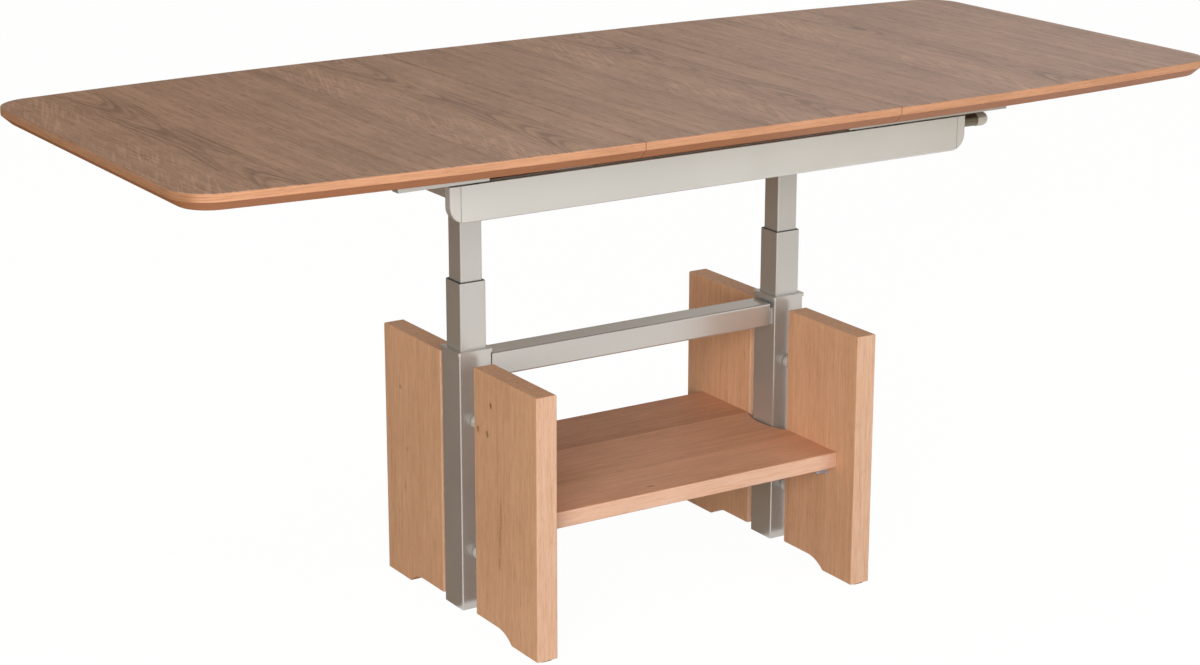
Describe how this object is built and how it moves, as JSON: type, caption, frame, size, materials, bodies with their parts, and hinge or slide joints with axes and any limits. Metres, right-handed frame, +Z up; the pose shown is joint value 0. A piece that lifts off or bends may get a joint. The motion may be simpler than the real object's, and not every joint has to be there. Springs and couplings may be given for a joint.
{
  "type": "convertible coffee dining table",
  "caption": "Height-adjustable coffee and dining table: extending oak top with a lift-out insert on telescopic square columns, upright wood panels, shelf and release lever",
  "frame": {"origin": "on the floor, midway between the two columns and under the middle of the top", "axes": "+X along the table towards the release lever, +Y from the front apron to the rear apron, +Z up"},
  "size_m": [1.6, 0.694, 0.728],
  "materials": {
    "oak_panel": "oiled solid oak",
    "oak_shelf": "oiled oak, grain along the shelf",
    "oak_veneer": "satin grey-brown oak veneer, grain across the table",
    "oak_edge": "satin solid oak lipping",
    "board_core": "raw board",
    "satin_paint": "satin champagne metallic paint",
    "zinc_steel": "zinc plated",
    "black_paint": "black paint",
    "bright_rod": "polished rod",
    "lever_metal": "satin nickel",
    "dark_plastic": "black",
    "clear_plastic": "clear, slightly blue",
    "glide_plastic": "brown"
  },
  "bodies": {
    "base": {"panel_left_front": "oak_panel", "panel_left_rear": "oak_panel", "outer_column_left": "satin_paint", "column_collar_left": "satin_paint", "gas_spring_cylinder_left": "black_paint", "panel_right_front": "oak_panel", "panel_right_rear": "oak_panel", "outer_column_right": "satin_paint", "column_collar_right": "satin_paint", "gas_spring_cylinder_right": "black_paint", "column_foot_plates": "satin_paint", "gas_spring_seals": "black_paint", "panel_spacers": "satin_paint", "panel_studs": "zinc_steel", "floor_glides": "glide_plastic", "shelf": "oak_shelf", "shelf_supports": "clear_plastic", "stretcher": "satin_paint", "stretcher_end_plates": "satin_paint", "stretcher_screws": "zinc_steel"},
    "middle_left": {"middle_tube_left": "satin_paint", "middle_guides_left": "dark_plastic"},
    "middle_right": {"middle_tube_right": "satin_paint", "middle_guides_right": "dark_plastic"},
    "top_frame": {"inner_tube_left": "satin_paint", "gas_spring_rod_left": "bright_rod", "cross_bearer_left": "satin_paint", "end_rail_left": "satin_paint", "inner_tube_right": "satin_paint", "gas_spring_rod_right": "bright_rod", "cross_bearer_right": "satin_paint", "end_rail_right": "satin_paint", "inner_tube_guides": "dark_plastic", "head_plates": "satin_paint", "apron_front": "satin_paint", "apron_rear": "satin_paint", "apron_end_caps": "satin_paint", "insert_angle_front": "zinc_steel", "insert_angle_rear": "zinc_steel", "release_brackets": "zinc_steel"},
    "leaf_left": {"leaf_core_left": "board_core", "leaf_edge_left": "oak_edge", "leaf_veneer_left": "oak_veneer", "leaf_runners_left": "satin_paint", "leaf_glides_left": "dark_plastic"},
    "leaf_right": {"leaf_core_right": "board_core", "leaf_edge_right": "oak_edge", "leaf_veneer_right": "oak_veneer", "leaf_runners_right": "satin_paint", "leaf_glides_right": "dark_plastic"},
    "insert": {"insert_core": "board_core", "insert_edges": "oak_edge", "insert_veneer": "oak_veneer", "insert_pegs": "zinc_steel"},
    "lever": {"release_lever": "lever_metal", "release_shaft": "zinc_steel"},
    "rocker": {"release_rocker": "zinc_steel"},
    "link": {"release_link": "zinc_steel"},
    "valve_pins": {"valve_pins": "bright_rod"}
  },
  "joints": [
    {"name": "lift", "type": "slide", "parent": "base", "child": "top_frame", "axis": [0, 0, 1], "range_m": [-0.2, 0]},
    {"name": "middle_left_slide", "type": "slide", "parent": "base", "child": "middle_left", "axis": [0, 0, 1], "range_m": [-0.081, 0]},
    {"name": "middle_right_slide", "type": "slide", "parent": "base", "child": "middle_right", "axis": [0, 0, 1], "range_m": [-0.081, 0]},
    {"name": "leaf_left_slide", "type": "slide", "parent": "top_frame", "child": "leaf_left", "axis": [-1, 0, 0], "range_m": [0, 0.04]},
    {"name": "leaf_right_slide", "type": "slide", "parent": "top_frame", "child": "leaf_right", "axis": [1, 0, 0], "range_m": [0, 0.04]},
    {"name": "insert_lift", "type": "slide", "parent": "top_frame", "child": "insert", "axis": [0, 0, 1], "range_m": [0, 0.15]},
    {"name": "lever_pivot", "type": "hinge", "parent": "top_frame", "child": "lever", "pos_m": [0.3, -0.12, 0.636], "axis": [0, -1, 0], "range_deg": [0, 5], "stiffness_Nm_per_rad": 4},
    {"name": "rocker_pivot", "type": "hinge", "parent": "top_frame", "child": "rocker", "pos_m": [-0.224, 0, 0.636], "axis": [0, -1, 0], "range_deg": [0, 5.1]},
    {"name": "link_slide", "type": "slide", "parent": "top_frame", "child": "link", "axis": [1, 0, 0], "range_m": [0, 0.00145]},
    {"name": "valve_press", "type": "slide", "parent": "top_frame", "child": "valve_pins", "axis": [0, 0, -1], "range_m": [0, 0.0036]}
  ],
  "couplings": [
    {"joint": "middle_left_slide", "follows": "lift", "ratio": 0.4},
    {"joint": "middle_right_slide", "follows": "lift", "ratio": 0.4},
    {"joint": "rocker_pivot", "follows": "lever_pivot", "ratio": 1},
    {"joint": "link_slide", "follows": "lever_pivot", "m_per_rad": 0.016},
    {"joint": "valve_press", "follows": "lever_pivot", "m_per_rad": 0.04}
  ]
}
